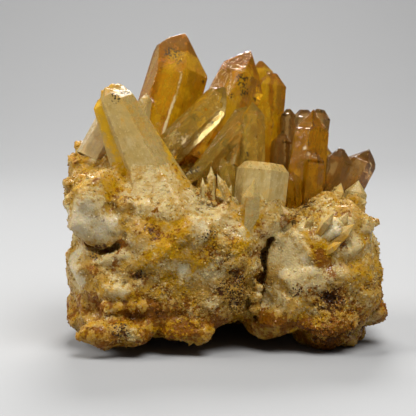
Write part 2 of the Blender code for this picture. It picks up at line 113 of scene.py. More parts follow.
PATCHES = {
    "milk": (
        ((-34, 38, 34), 9, 0.9), ((12, 42, 24), 10, 0.8), ((40, 36, 40), 8, 0.8), ((-56, 14, 30), 10, 0.9),
        ((60, 8, 36), 8, 0.8), ((-12, 40, 48), 7, 0.7), ((58, -2, 12), 7, 0.6), ((-58, -8, 52), 7, 0.7),
        ((28, -32, 28), (44, -31, 33), 5, 0.8), ((46, -28, 42), 6, 0.9), ((54, -22, 44), 5, 0.8),
        ((16, -31, 20), (34, -32, 17), 3.5, 0.8), ((-53.5, -34, 57), 6, 1.0), ((-2, -34, 33), 3, 0.6),
        ((-30, -33, 57), (-10, -33, 57), 5, 0.8), ((-44, -36, 38), (-30, -36, 44), 4, 0.6),
        ((-56, -34, 50), 8, 1.0), ((-50, -33, 58), 7, 0.8), ((-48, -34, 49), 7, 0.9),
        ((-58, -30, 42), (-57, -30, 26), 5, 1.0), ((20, -33, 46), (28, -32, 30), 7, 1.0),
        ((34, -32, 32), 6, 0.7), ((-24, -30, 62), (-36, -22, 80), 8, 0.5),
        ((-52, -37, 6), (-36, -38, 10), 3, 0.8), ((2, -32, 50), (-4, -33, 54), 5, 0.8),
        ((-6, -35, 30), 4, 0.6), ((-28, -30, 64), 12, 0.6), ((-16, -32, 58), 8, 0.6),
        ((-9, -34, 51), 5, 0.9), ((6, -33, 50), 5, 0.8), ((-16, -37, 34), 3, 1.0), ((-21, -37, 36), 3, 0.8),
        ((-40, -38, 25.5), 5, 1.0), ((-5, -34, 21), 3, 0.8), ((-9, -36, 33), 3, 0.7),
        ((-36, -36, 46), 5, 0.6), ((20, -33, 38), 6, 0.9), ((0, -34, 36), 6, 0.5), ((24, -33, 45), 6, 0.7),
        ((41, -33, 48), 6, 1.0), ((52, -24, 40), 5, 0.7), ((21, -33, 23), 5, 0.8), ((31, -33, 33), 4, 0.8),
        ((52, -26, 27), 5, 0.7), ((44, -30, 32), 4, 0.7), ((55, -22, 12), 5, 0.5), ((16, -20, 66), 12, 0.8),
        ((15, -30, 22), 5, 0.6), ((33, -32, 16), 5, 0.5), ((-50, -36, 11), 5, 0.7), ((-28, -38, 9), 4, 0.6),
        ((-47, -14, 95), 9, 0.6), ((-36, -18, 78), 9, 0.5),
    ),
    "veil": (
        ((-19.5, 1.4, 97.2), (-24.4, -2.8, 83), 0.9, 1.0),
        ((-16.9, 4.1, 106.3), (-19.3, 1.8, 97.7), 0.8, 0.7), ((-19.6, -8.7, 82.8), 6, 0.5),
        ((-13.7, -2.7, 92.1), (-24, -8, 82), 1.6, 0.6), ((33, -9, 75), 1.8, 0.9),
        # The streak from (59.5, 5, 73) to (57.5, 3, 62) is a painted highlight along the far right crystal's
        # edge.
        ((31.5, -8.5, 77.5), 1.4, 0.9), ((59.5, 5, 73), (57.5, 3, 62), 1.3, 0.8),
        ((-52.4, -5.7, 80.5), 9, 0.6), ((2, -10.5, 79), (8, -6, 90), 1.2, 0.5),
        ((10, -11, 78), (10, -9, 90), 1.1, 0.5), ((0, -10.7, 77), 3, 0.4),
        ((29, -4, 87), (36, 1, 88), 1.2, 0.5), ((-31, 0, 96), 3, 0.8), ((-26, 0, 86), 2, 0.7),
        ((-20, -10, 76), 2.5, 0.7), ((-55, -34, 53), 7, 1.0), ((-47, -34, 51), 6, 0.9),
        ((-53, -33, 59), 6, 0.7), ((-9, -34, 51), 4, 0.6), ((-16, -37, 34), 2, 0.9),
        ((24, -33, 44), 4, 0.3), ((42, -33, 49), 5, 0.8), ((-40, -38, 25.5), 3.5, 0.4),
        ((33, -31, 34), 3, 0.5), ((22, -31, 33), 6, 0.35), ((-24, -31, 66), 8, 0.25),
        ((13, -33, 22), 4, 0.35), ((-15.6, -9, 80.5), 4, 0.75), ((-20, -13, 67), (-9, -12, 69.5), 1.8, 0.8),
        ((30, -31, 37), 5, 0.4), ((-57, -31, 38), (-57, -31, 29), 4, 1.0), ((-43, -20, 99), 4, 0.4),
    ),
    # painted shade: dark patches where shade falls, in cavities, cracks and hollows, under ledges, low at the
    # block's back and sides, and between the crystals
    "shade": (
        ((-20, 42, 16), 6, 0.8), ((34, 40, 28), 5, 0.7), ((-60, 6, 14), 6, 0.7), ((62, 4, 22), 5, 0.7),
        ((-11.7, -14.2, 64), 2, 1.0), ((-11.3, -12.1, 72), 1.6, 0.3), ((-10.6, -4.1, 74.4), 2, 0.8),
        ((8, -12, 73), 2, 0.7), ((4, -9.5, 70.6), 2, 0.7), ((-8.6, 12.8, 102.1), 1.6, 0.9),
        ((12.3, 9, 95.5), 2.2, 0.7), ((24, 9, 72), 4, 0.7), ((28, -9, 62), 4, 0.6), ((39, -8, 62), 4, 0.6),
        ((40, -31, 22), 5, 1.0), ((46, -28, 10), 8, 0.8), ((36, -31, 6), 7, 0.8), ((54, -22, 8), 7, 0.8),
        ((14, -28, 40), (14, -28, 24), 2.5, 1.0), ((-40, -32, 50), (-46, -34, 42), 2.2, 1.0),
        ((-46, -34, 42), (-54, -34, 44), 2.0, 0.9), ((-45, -36, 20), (-30, -36, 20), 2.5, 0.8),
        ((-33, -35, 31), 2.2, 1.0), ((2, -33, 39), 2.5, 0.35), ((4, -33, 30), 2.5, 0.35),
        ((3, -33, 21), 3.5, 0.7), ((-38, -38, 12), 3, 0.7), ((33, -18, 53), 4, 0.8),
        ((-6, -10, 66), 4, 0.6), ((-2, -34, 26), 3, 0.6), ((28, -32, 26), 2.5, 0.7),
        ((-12, -35, 13), 3, 0.3), ((-46, -36, 53), 3.5, 0.4), ((-29, -35, 50), 6, 0.5),
        ((20, -26, 50), (28, -24, 54), 2, 0.8), ((52, -24, 20), 3, 0.7),
        ((-28, -37, 21), (-40, -37, 20), 2.5, 0.7),
    ),
    "yellow": (
        ((-50, 28, 46), 9, 0.8), ((-8, 42, 30), 8, 0.8), ((28, 40, 12), 9, 0.8), ((62, 20, 24), 8, 0.8),
        ((-16.2, 5.1, 97.5), 4, 1.0), ((-18.9, 2.3, 90.9), 3.5, 1.0), ((-1.5, -4.1, 96.6), 3, 0.8),
        ((-8.2, -3.6, 77.1), 3.5, 0.9), ((-9, -6, 86), 4, 0.6),
        ((-50, -16, 97), (-39.4, -22.3, 69), 3.2, 1.0), ((-29, -15, 93), (-16, -26.6, 64.5), 2.4, 0.75),
        ((23.1, -22.4, 62), (23, -22, 70), 1.6, 0.4), ((-12, -9, 75.5), (0.5, -4.5, 91), 2.5, 1.0),
        ((-45, -14, 103), 6, 0.8), ((21.4, 13.7, 86.3), 5, 0.6), ((28, -9, 68), 3, 0.6),
        ((-17, -36, 51), 6, 1.0), ((-22, -36, 45), 6, 1.0), ((-29, -35, 51), 6, 1.0),
        ((-21, -38, 32), 4, 1.0), ((-30, -36, 38), 5, 0.7), ((8, -32, 53), 5, 1.0), ((11, -31, 58), 4, 0.8),
        ((12, -35, 55), 3.5, 0.9), ((38, -33, 41), 6, 1.0), ((-44, -30, 66), 5, 0.8),
        ((-55, -37, 9), 5, 0.6), ((30, -34, 13), 7, 0.8), ((51, -27, 34), 5, 0.6), ((-5, -36, 45), 4, 0.7),
        ((5, -33, 43), 4, 0.7), ((-60, -30, 17), 5, 0.7), ((21, -18, 72), 5, 0.5), ((-35, -36, 21), 7, 0.7),
        ((-26, -36, 12), (-14, -35, 12), 4, 0.9), ((58, -18, 26), 6, 0.6), ((-11, -37, 38), 4, 0.6),
    ),
    "rust": (
        ((-7.4, -5.9, 92.4), 1.1, 1.0), ((19, 14.9, 99), 2.5, 0.7), ((-24, -20.9, 80.1), 0.9, 1.0),
        ((-28.7, -30.6, 62.7), 1.2, 1.0), ((-36.9, -26.3, 76.8), 0.9, 0.9),
        ((-19.3, -24.3, 70.8), 1.0, 0.8), ((-28.5, 3.5, 101), (-28, 1, 86), 2.5, 0.45),
        ((56, 1, 62), 5, 0.7), ((34, -10, 66), (36, -11, 58), 2, 0.7), ((33.5, -22, 54), 2.5, 1.0),
        ((6, 10, 110), 5, 0.35), ((-12, -9, 75.5), (0.5, -4.5, 91), 1.6, 0.6),
        ((-48, -37, 20), (-22, -37, 18), 5, 1.0), ((-26, -37, 14), (-14, -35, 10), 3, 0.6),
        ((36, -33, 40), (40, -32, 32), 3, 1.0), ((16, -31, 14), (34, -30, 10), 4, 0.9),
        ((40, -31, 3), 8, 1.0), ((-58, -32, 4), (-30, -38, 3), 2.5, 0.8),
        ((0, -33, 50), (14, -30, 47), 3, 0.5), ((-40, -31, 58), 3, 0.8), ((-13, -36, 15), 5, 0.6),
        ((-4, -34, 14), 6, 0.8), ((3, -33, 24), 4, 0.6), ((4, -33, 33), 3.5, 0.5),
        ((-4, -35, 41), 3.5, 0.5), ((-40, -34, 42), 4, 1.0), ((-40, -32, 50), 3.5, 0.9),
        ((-38, -32, 60), 4, 0.9), ((-29, -36, 51), 5, 0.55), ((-21, -38, 47), 5, 0.3),
        ((-54, -33, 44), 5, 0.9), ((-47, -34, 41), 4, 0.8), ((-57, -30, 20), 4, 0.9),
        ((-42, -37, 36), 3.5, 0.8), ((-33, -36, 31), 3.5, 1.0), ((-26, -36, 56), 2.5, 0.8),
        ((38, -33, 36), 4, 1.0), ((42, -31, 22), 5, 1.0), ((34, -32, 24), 4, 0.8), ((46, -29, 44), 4, 0.9),
        ((28, -33, 27), 3, 0.9), ((57, -18, 20), 6, 0.8), ((44, -28, 9), 8, 1.0), ((28, -30, 8), 6, 0.9),
        ((14, -28, 31), 4, 1.0), ((14, -28, 41), 4, 1.0), ((33, -18, 53), 6, 1.0), ((-56, -16, 72), 5, 0.8),
        ((2, -34, 30), 3, 0.7), ((-28, -38, 5.5), 7, 0.7), ((-48, -36, 6), 6, 0.7), ((60, -16, 14), 6, 0.9),
        ((-12, -30, 62), 3, 0.8), ((-4, -30, 60), 3, 0.8), ((-44, -30, 71), 3, 0.9),
        ((50, -28, 16), 5, 0.7), ((22, -32, 15), 4, 0.6), ((-18, -20, 66), 3, 0.9),
        ((-50, -34, 34), 3, 0.7), ((47, -26, 51), 4, 0.8), ((24, -28, 52), 4, 0.8), ((34, -32, 46), 3, 0.7),
    ),
    "grainy": (
        ((0, -33, 37), 11, 0.8), ((4, -32, 25), 10, 1.0), ((42, -32, 18), 12, 0.9), ((55, -23, 26), 9, 0.9),
        ((-22, -36, 26), 9, 0.7), ((-34, -37, 9), 9, 0.6), ((30, -20, 52), 10, 0.9),
        ((-8, -28, 60), 5, 0.6), ((-10, -36, 20), 9, 0.7), ((-43, -37, 31), 6, 0.5),
        ((62, 15, 30), 26, 0.7), ((0, 44, 30), 40, 0.7), ((-60, -20, 66), 6, 0.6),
    ),
    "dirt": (
        ((-20.5, 13.5, 113.8), 4.2, 1.0), ((-22.7, 15.1, 115), 2.2, 0.9), ((-18.6, 9, 110.4), 2.2, 0.9),
        ((7, 5.4, 103.4), 3, 1.0), ((7.8, 6, 99), 2.6, 1.0), ((3, 2.8, 97.6), 2.2, 0.7),
        ((-5, -4.5, 87.1), 2, 0.9), ((-42, -21.3, 98.7), 2.4, 1.0), ((-39.1, -16.7, 100.3), 2.5, 0.9),
        ((8.7, -12.3, 75.3), 2, 0.7), ((0, -33, 37), 8, 0.4), ((4, -32, 27), 8, 0.9),
        ((45, -28, 43), 5, 0.5), ((33, -18, 53), 6, 1.0), ((-33, -36, 32), 4, 1.0),
        ((-40, -38, 12), 5, 0.8), ((26, -32, 25), 5, 0.8), ((40, -32, 22), 6, 1.0), ((14, -27, 35), 6, 1.0),
        ((-57, -33, 45), 4, 0.6), ((50, -24, 20), 7, 0.7), ((-13, -11, 69), 4, 0.9), ((0, 0, 78), 5, 0.8),
        ((4, -33, 20), 4, 0.9), ((-6, -35, 48), 4, 0.9), ((-40, -31, 47), 4, 0.8), ((-50, -33, 39), 3, 0.8),
        ((-12, 2, 88), 4, 0.7), ((44, -12, 66), 5, 0.5), ((36, 4, 84), 4, 0.5), ((-9, 14, 98), 4, 0.4),
    ),
    "knobby": (
        ((-45, -12, 105), 6, 1.0), ((-48, -12, 99), 4, 0.4), ((-38, -8, 98), 4, 0.7),
        ((14, -17, 81), 5, 0.4), ((-31, 0, 97), 4, 0.5),
    ),
}


# -----------------------------------------------------------------------------
# Meshes


def link_piece(name, mesh):
    piece = bpy.data.objects.new(name, mesh)
    bpy.context.scene.collection.objects.link(piece)
    return piece


def finish_piece(piece, material, slot, *nodes):
    """Gives the piece its stone and its body, and hides the imported nodes that it stands for."""
    piece.data.materials.clear()
    piece.data.materials.append(material)
    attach(piece, "root")
    if nodes:
        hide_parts(*nodes)


def merged_copy(node):
    """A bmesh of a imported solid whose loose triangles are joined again."""
    bm = bmesh.new()
    bm.from_mesh(frame["nodes"][node].data)
    bmesh.ops.remove_doubles(bm, verts=bm.verts, dist=1e-6)
    return bm


def take_mesh(name, bm):
    """The bmesh as a new mesh. The bmesh is freed."""
    mesh = bpy.data.meshes.new(name)
    bm.to_mesh(mesh)
    bm.free()
    return mesh


def shift_vertices(bm, shift):
    """Moves every vertex by what shift() gives for its number and the vertex, all at once."""
    for vertex in bm.verts:
        vertex.normal_update()
    shifts = [shift(n, vertex) for n, vertex in enumerate(bm.verts)]
    for vertex, move in zip(bm.verts, shifts):
        vertex.co += move


# The block's front face is nearer than FRONT_DEPTH and lower than FRONT_TOP. FRONT_SHIFT is the farthest
# that a patch is moved along Y, and FRONT_START is well in front of the block. All are millimetres.
FRONT_DEPTH = -27
FRONT_TOP = 62
FRONT_SHIFT = 8
FRONT_START = -100


def settled(spot, shell):
    """The spot, moved along Y onto the face of the block's shell if it is near the block's front."""
    if spot[1] > FRONT_DEPTH or spot[2] > FRONT_TOP:
        return spot
    hit = shell.ray_cast(place((spot[0], FRONT_START, spot[2])), Vector((0, 1, 0)))[0]
    if hit is None or abs((hit - place(spot)).y) > FRONT_SHIFT * MM:
        return spot
    return tuple((hit - SEAT) / MM)


def settled_patches():
    """The patches, with every spot near the block's front on the block's own face."""
    shell = BVHTree.FromBMesh(merged_copy("milky_quartz_base"))
    return {
        kind: [(*[settled(end, shell) for end in ends], reach, peak) for *ends, reach, peak in rows]
        for kind, rows in PATCHES.items()
    }


SETTLED = settled_patches()


def patch_strength(kind, spots):
    """How strong one kind of patch is at each spot, an array of the growing frame's millimetres."""
    strength = np.zeros(len(spots))
    for *ends, reach, peak in SETTLED[kind]:
        start, end = np.array(ends[0], float), np.array(ends[-1], float)
        line = end - start
        along = np.clip((spots - start) @ line / max(line @ line, 1e-9), 0, 1)
        gap = np.linalg.norm(spots - start - along[:, None] * line, axis=1) / reach
        strength = np.maximum(strength, peak * np.exp(-gap**2))
    return strength


def bake_modifiers(piece):
    """Replaces the piece's mesh by the one its modifiers make, and removes them."""
    depsgraph = bpy.context.evaluated_depsgraph_get()
    made = bpy.data.meshes.new_from_object(piece.evaluated_get(depsgraph))
    before = piece.data
    piece.modifiers.clear()
    piece.data = made
    bpy.data.meshes.remove(before)


def unplace(metres):
    """The spots, in metres, as an array of the growing frame's millimetres."""
    return (np.array(metres).reshape(-1, 3) - np.array(SEAT)) / MM


def spots_of(mesh):
    """The mesh's vertices as an array of the growing frame's millimetres."""
    flat = np.zeros(len(mesh.vertices) * 3)
    mesh.vertices.foreach_get("co", flat)
    return unplace(flat)


def centres_of(mesh):
    """The middles of the mesh's faces as an array of the growing frame's millimetres."""
    flat = np.zeros(len(mesh.polygons) * 3)
    mesh.polygons.foreach_get("center", flat)
    return unplace(flat)


def write_attribute(mesh, name, values):
    layer = mesh.attributes.new(name, "FLOAT", "POINT")
    layer.data.foreach_set("value", np.clip(values, 0, 1).astype(np.float32))


def write_patches(mesh):
    """Stores every kind of patch on the mesh's vertices."""
    spots = spots_of(mesh)
    for kind in PATCHES:
        write_attribute(mesh, kind, patch_strength(kind, spots))


GROWTH_STRETCH = (0.1, 1, 1)  # draws the streaks out ten times along the crystal


def write_growth(mesh):
    """Stores each vertex's place along and across the mesh's longest direction, with the first shortened."""
    spots = spots_of(mesh)
    spots -= spots.mean(axis=0)
    axes = np.linalg.svd(spots[::5], full_matrices=False)[2]
    layer = mesh.attributes.new("grown", "FLOAT_VECTOR", "POINT")
    layer.data.foreach_set("vector", (spots @ axes.T * GROWTH_STRETCH).astype(np.float32).ravel())


# The seam round each grain, as shares of the grain's size, and one seed for each layer of grains.
SEAM_WIDTH = 0.22
SEAM_DEPTH = 0.1
SEEDS = (Vector((3.1, 8.4, 1.7)), Vector((11.2, 4.9, 6.3)), Vector((7.7, 1.3, 9.6)))
LEAN_STEP = 7.3  # sets apart the leans of grains that are neighbours
CALM_FOOT = 4 * MM  # the skin is broken less and less from here down to the table


def facet(spot, size, seed):
    """Height of a skin of grains about this big. Each grain's flat leans its own way inside a seam."""
    point = spot / size + seed
    gaps, centres = noise.voronoi(point)
    lean = noise.cell_vector(centres[0] * LEAN_STEP) - Vector((0.5, 0.5, 0.5))
    inside = min((gaps[1] - gaps[0]) / SEAM_WIDTH, 1)
    inside = inside * inside * (3 - 2 * inside)
    return size * ((point - centres[0]).dot(lean) * 2 * inside - SEAM_DEPTH * (1 - inside))


def break_surface(mesh, layers, swell, calm):
    """Moves the vertices in and out as broken stone, and stores how deep each one ends up.

    layers are grain size, height and the share of that height where the stone isn't grainy. swell is the
    length and height of a gentle wave. calm is how still each vertex is kept, from 0 to 1.
    """
    grainy = patch_strength("grainy", spots_of(mesh))
    heights = np.zeros(len(mesh.vertices))
    for n, vertex in enumerate(mesh.vertices):
        spot = (vertex.co - SEAT) / MM
        height = swell[1] * noise.noise(spot / swell[0]) * (0.4 + grainy[n])
        for number, (size, rise, elsewhere) in enumerate(layers):
            share = elsewhere + (1 - elsewhere) * grainy[n]
            height += rise * share * facet(spot, size, SEEDS[number])
        heights[n] = height * (1 - calm[n])
    shifts = [
        vertex.normal * heights[n] * min(vertex.co.z / CALM_FOOT, 1)
        for n, vertex in enumerate(mesh.vertices)
    ]
    for vertex, shift in zip(mesh.vertices, shifts):
        vertex.co += shift * MM
        vertex.co.z = max(vertex.co.z, 0)
    spread = np.percentile(heights, 95) - np.percentile(heights, 5)
    write_attribute(mesh, "hollow", 0.5 - (heights - np.median(heights)) / spread)


SPLIT_ROUNDS = 9


def shorten_edges(bm, longest):
    """Splits the mesh's edges until none is longer than this, in so many rounds at most."""
    bmesh.ops.triangulate(bm, faces=bm.faces)
    for _ in range(SPLIT_ROUNDS):
        long_edges = [edge for edge in bm.edges if edge.calc_length() > longest]
        if not long_edges:
            break
        bmesh.ops.subdivide_edges(bm, edges=long_edges, cuts=1)
        bmesh.ops.triangulate(bm, faces=[face for face in bm.faces if len(face.verts) > 3])


# -----------------------------------------------------------------------------
# Materials


class Wire:
    """One output socket. Arithmetic with numbers or other wires adds Math nodes to its tree."""

    def __init__(self, finish, socket):
        self.finish = finish
        self.socket = socket

    def maths(self, operation, first, second):
        return self.finish.node("ShaderNodeMath", {"operation": operation}, {0: first, 1: second})

    def __add__(self, other):
        return self.maths("ADD", self, other)

    __radd__ = __add__

    def __sub__(self, other):
        return self.maths("SUBTRACT", self, other)

    def __rsub__(self, other):
        return self.maths("SUBTRACT", other, self)

    def __mul__(self, other):
        return self.maths("MULTIPLY", self, other)

    __rmul__ = __mul__


def add_node(tree, kind, settings, sockets):
    """Adds a node with these settings to the tree. Its sockets are given values, or wires to link."""
    made = tree.nodes.new(kind)
    for key, value in (settings or {}).items():
        setattr(made, key, value)
    for key, value in (sockets or {}).items():
        source = value.socket if isinstance(value, Wire) else value
        if isinstance(source, bpy.types.NodeSocket):
            tree.links.new(source, made.inputs[key])
        else:
            made.inputs[key].default_value = source
    return made


class Finish:
    """A material and the nodes that are added to it."""

    def __init__(self, name):
        self.material = bpy.data.materials.new(name)
        self.material.use_nodes = True
        self.tree = self.material.node_tree
        self.tree.nodes.clear()
        metres = self.node("ShaderNodeTexCoord", output="Object")
        self.place = self.node(
            "ShaderNodeVectorMath", {"operation": "SCALE"}, {"Vector": metres, "Scale": 1 / MM}
        )

    def node(self, kind, settings=None, sockets=None, output=0):
        """Adds a node and returns one of its outputs as a wire."""
        return Wire(self, add_node(self.tree, kind, settings, sockets).outputs[output])

    def noise(self, wavelength, detail=3.0, rough=0.55, bend=0.0, shift=0.0):
        """Fractal noise whose blotches are about this many millimetres across."""
        where = self.place
        if shift:
            where = self.node("ShaderNodeVectorMath", {"operation": "ADD"}, {0: where, 1: (shift,) * 3})
        sockets = {"Vector": where, "Scale": 1 / wavelength, "Detail": detail, "Roughness": rough}
        return self.node("ShaderNodeTexNoise", None, {**sockets, "Distortion": bend})

    def cells(self, size, output="Distance"):
        """Distance to the middle of the nearest of many cells this many millimetres across, or its colour."""
        sockets = {"Vector": self.place, "Scale": 1 / size}
        return self.node("ShaderNodeTexVoronoi", None, sockets, output=output)

    def larger(self, first, second):
        return self.node("ShaderNodeMath", {"operation": "MAXIMUM"}, {0: first, 1: second})

    def step(self, value, low, high, start=0.0, end=1.0):
        """Goes smoothly from start to end as the value goes from low to high."""
        return self.node(
            "ShaderNodeMapRange", {"interpolation_type": "SMOOTHSTEP"},
            {"Value": value, "From Min": low, "From Max": high, "To Min": start, "To Max": end},
        )

    def along(self, axis):
        """Millimetres from the scene's middle: Y is to the back, and Z is up from the table."""
        return self.node("ShaderNodeSeparateXYZ", None, {0: self.place}, output=axis)

    def streaks(self, width):
        """Fractal noise drawn out along the crystal's length."""
        grown = self.node("ShaderNodeAttribute", {"attribute_name": "grown"}, output="Vector")
        sockets = {"Vector": grown, "Scale": 1 / width, "Detail": 3.0, "Roughness": 0.6}
        return self.node("ShaderNodeTexNoise", None, sockets)

    def patch(self, name):
        return self.node("ShaderNodeAttribute", {"attribute_name": name}, output="Fac")

    def mix(self, share, first, second):
        """A colour between two colours."""
        return self.node("ShaderNodeMix", {"data_type": "RGBA"}, {0: share, 6: first, 7: second}, output=2)

    def coated(self, colour, *coats):
        """The colour under coats, each a share and a colour, the last one on top."""
        for share, coat in coats:
            colour = self.mix(share, colour, opaque(coat))
        return colour

    def bump(self, height, millimetres):
        sockets = {"Height": height, "Distance": millimetres * MM, "Strength": 1.0}
        return self.node("ShaderNodeBump", None, sockets, output="Normal")

    def stone(self, **sockets):
        """A Principled shader. Keyword names are socket names with underscores for spaces."""
        named = {key.replace("_", " "): value for key, value in sockets.items()}
        return self.node("ShaderNodeBsdfPrincipled", None, named)

    def close(self, surface, absorbs=None, density=0.0):
        """Ends the material. absorbs is the colour that a clear stone lets through."""
        sockets = {"Surface": surface}
        if absorbs:
            sockets["Volume"] = self.node(
                "ShaderNodeVolumeAbsorption", None, {"Color": (*absorbs, 1), "Density": density}
            )
        add_node(self.tree, "ShaderNodeOutputMaterial", None, sockets)
        return self.material


def opaque(colour):
    return (*colour, 1.0)


def spread(wire):
    """Noise from 0 to 1, spread to about -1 to 1 round its usual middle."""
    return (wire - 0.5) * 4


def matrix_stone(name, look, soft):
    """Milky quartz with yellow and brown iron stain and dark specks. It is painted darker and browner
    low down and in shade patches, as painted shade, and in hollows, as painted shade and iron stain.

    soft is how much light goes under its skin.
    """
    f = Finish(name)
    broad = spread(f.noise(10, detail=3, rough=0.55))
    medium = spread(f.noise(4, detail=3, rough=0.6, shift=31))
    fine = spread(f.noise(1.3, detail=3, rough=0.7, shift=57))
    other = spread(f.noise(2.2, detail=4, rough=0.7, shift=83))
    grain = spread(f.cells(1.5, output="Color"))
    # hollow is how far the skin was pushed in. Hollows are painted browner and darker: iron stain, and
    # painted shade. On the crumbs it is a random tone for each crumb.
    hollow = f.patch("hollow") - 0.5
    # painted shade: low is 1 at the table and 0 from 34 mm up. It paints the stone browner and darker low
    # down, where less light falls.
    low = f.step(f.along("Z"), 34, 4)
    milk, yellow, rust, dirt, grainy = map(f.patch, ("milk", "yellow", "rust", "dirt", "grainy"))
    rough = grainy * 0.25 + 0.35

    white = f.step(
        milk * 0.9 + broad * 0.3 + medium * 0.4 + grain * 0.2 + fine * 0.25 - hollow * 0.6 - low * 0.35,
        -0.1, 0.7,
    )
    chalk = f.step(f.patch("veil") + medium * 0.3 + fine * 0.25, 0.25, 0.8)
    gold = f.step(
        yellow * 0.7 + broad * 0.35 + other * 0.45 + fine * rough + hollow * 0.45 + low * 0.15 - milk * 0.35
        - chalk * 0.5,
        -0.15, 0.5,
    )
    orange = f.step(
        rust * 0.7 + medium * 0.4 + other * 0.25 + fine * rough + grain * 0.15 + hollow * 0.7 + low * 0.3
        - milk * 0.3 - chalk * 0.4,
        0.15, 0.65,
    )
    shade = f.patch("shade")
    # umber: dark brown from rust and dirt, and painted shade in hollows, low down and in the shade patches
    umber = f.step(
        hollow * 0.8 + rust * 0.2 + dirt * 0.25 + shade * 0.95 + other * 0.4 + fine * 0.4 + low * 0.1,
        0.58, 1.0,
    )
    speck = f.step(f.cells(0.95), 0.46, 0.3) * f.step(dirt + medium * 0.3, 0.35, 0.65)
    colour = f.coated(
        opaque(look.matrix_cream), (white, look.matrix_white), (chalk, look.matrix_chalk),
        (gold, look.stain_yellow), (orange, look.stain_rust), (umber, look.umber_stain_and_shade), (speck, look.speck),
    )

    gloss = f.step(fine + milk * 0.4, -0.4, 0.5, 0.5, 0.25)
    relief = f.cells(0.9) * 0.6 + f.noise(0.6, detail=2, shift=11) * 0.6 + other * 0.12
    normal = f.bump(relief * (grainy * 0.4 + 0.6), 0.45)
    glint = f.step(f.cells(1.1), 0.3, 0.2) * 0.8
    surface = f.stone(
        Base_Color=colour, Roughness=gloss, IOR=QUARTZ_IOR, Normal=normal,
        Specular_IOR_Level=SHEEN, Coat_Weight=glint, Coat_Roughness=0.06,
        Subsurface_Weight=soft, Subsurface_Radius=(1.0, 0.55, 0.18), Subsurface_Scale=GLOW_DEPTH,
    )
    return f.close(surface)


# Linear colours of what the crystals hold and carry. DARK_SHADE is painted shade, in their cavities.
BRIGHT_STAIN = (0.52, 0.29, 0.006)
RUST_FLECK = (0.26, 0.095, 0.002)
PALE_WISP = (0.60, 0.48, 0.27)
DARK_SHADE = (0.05, 0.022, 0.004)
BLACK_SPECK = (0.012, 0.008, 0.003)


def crystal_stone(
    name, body, veil, stain, tint, clear, absorbs, density, stained=(0.0, 0.8), polish=0.05, haze=0.18
):
    """Translucent quartz: clear stone with cloudy and stained areas in it, and specks on it. Its shade
    patches are painted shade, and faces that look up are painted more stained, as shade.

    body, veil and stain colour its cloudy parts and tint its clear ones. clear is how much of it is clear.
    absorbs and density colour the light that goes through. stained is where stain begins and is full in the
    noise, and polish and haze are the lowest and highest roughness.
    """
    f = Finish(name)
    broad = spread(f.noise(12, detail=3, bend=0.6))
    medium = spread(f.noise(4, detail=4, rough=0.6, shift=23))
    fine = spread(f.noise(1.2, detail=3, rough=0.65, shift=41))
    milk, yellow, rust, dirt, frost = map(f.patch, ("milk", "yellow", "rust", "dirt", "frost"))
    streak = spread(f.streaks(1.4))
    pale = f.step(medium * 0.5 + fine * 0.2 + streak * 0.2 + milk * 0.7, 0.0, 1.0)
    # frost adds stain on faces that look up: painted shade, darkening the tip faces where the most light
    # falls
    staining = f.step(
        broad * 0.5 + yellow * 0.7 + rust * 0.7 + medium * 0.4 + fine * 0.35 + streak * 0.35 + frost * 0.3,
        *stained,
    )
    bright = f.step(yellow + medium * 0.4 + fine * 0.3, 0.3, 1.0)
    fleck = f.step(rust + fine * 0.55 + medium * 0.35 + streak * 0.2, 0.5, 0.95)
    wisp = f.step(f.patch("veil") + fine * 0.25 + medium * 0.15, 0.35, 0.9)
    # painted shade: the shade patches darken the stone towards DARK_SHADE
    shade = f.step(f.patch("shade") + fine * 0.4, 0.45, 0.8)
    speck = f.step(f.cells(0.8), 0.54, 0.42) * f.step(dirt + fine * 0.4, 0.4, 0.6)
    colour = f.coated(
        opaque(body), (pale, veil), (staining, stain), (bright, BRIGHT_STAIN), (fleck, RUST_FLECK),
        (wisp, PALE_WISP), (shade, DARK_SHADE), (speck, BLACK_SPECK),
    )

    cloudiness = f.step(
        broad * 0.35 + medium * 0.35 + streak * 0.25 + milk * 0.5 + yellow * 0.4 - frost * 0.3, -0.5, 0.9,
        0.75 - clear, min(1.25 - clear, 1),
    )
    for marks in (speck, wisp * 0.85, shade, fleck * 0.7):
        cloudiness = f.larger(cloudiness, marks)
    rough = f.step(fine * 0.5 + frost * 0.4, -0.3, 0.8, polish, haze)
    normal = f.bump(f.noise(2.4, detail=3, shift=7) + fine * 0.08 + streak * 0.08, 0.25)
    glass = f.stone(
        Base_Color=f.mix(staining * 0.7, opaque(tint), opaque(stain)), Roughness=rough, IOR=QUARTZ_IOR,
        Transmission_Weight=1.0, Normal=normal, Specular_IOR_Level=SHEEN,
    )
    cloudy = f.stone(
        Base_Color=colour, Roughness=rough + speck * 0.45 + 0.15, IOR=QUARTZ_IOR, Normal=normal,
        Specular_IOR_Level=SHEEN, Subsurface_Weight=0.3, Subsurface_Radius=(1.0, 0.6, 0.2),
        Subsurface_Scale=GLOW_DEPTH,
    )
    surface = f.node("ShaderNodeMixShader", None, {0: cloudiness, 1: glass, 2: cloudy})
    return f.close(surface, absorbs, density)


# -----------------------------------------------------------------------------
# Crystals: which stone each node is made of, and how its faces are worked.

CRYSTALS = {
    "tall_golden_crystal": "golden_point",
    "broad_golden_crystals": "golden_point",
    "right_golden_crystals": "golden_point",
    "back_left_crystal": "golden_point",
    "back_tall_crystal": "golden_point",
    "back_middle_crystal": "golden_point",
    "back_right_crystal": "golden_point",
    "smoky_front_crystal": "smoky_point",
    "smoky_crystals": "smoky_point",
    "left_clear_crystal": "clear_point",
    "brown_crystals": "brown_point",
    "right_smoky_crystals": "brown_point",
}
ROUGH_CRYSTALS = ("leaning_milky_crystal", "milky_block_crystal")


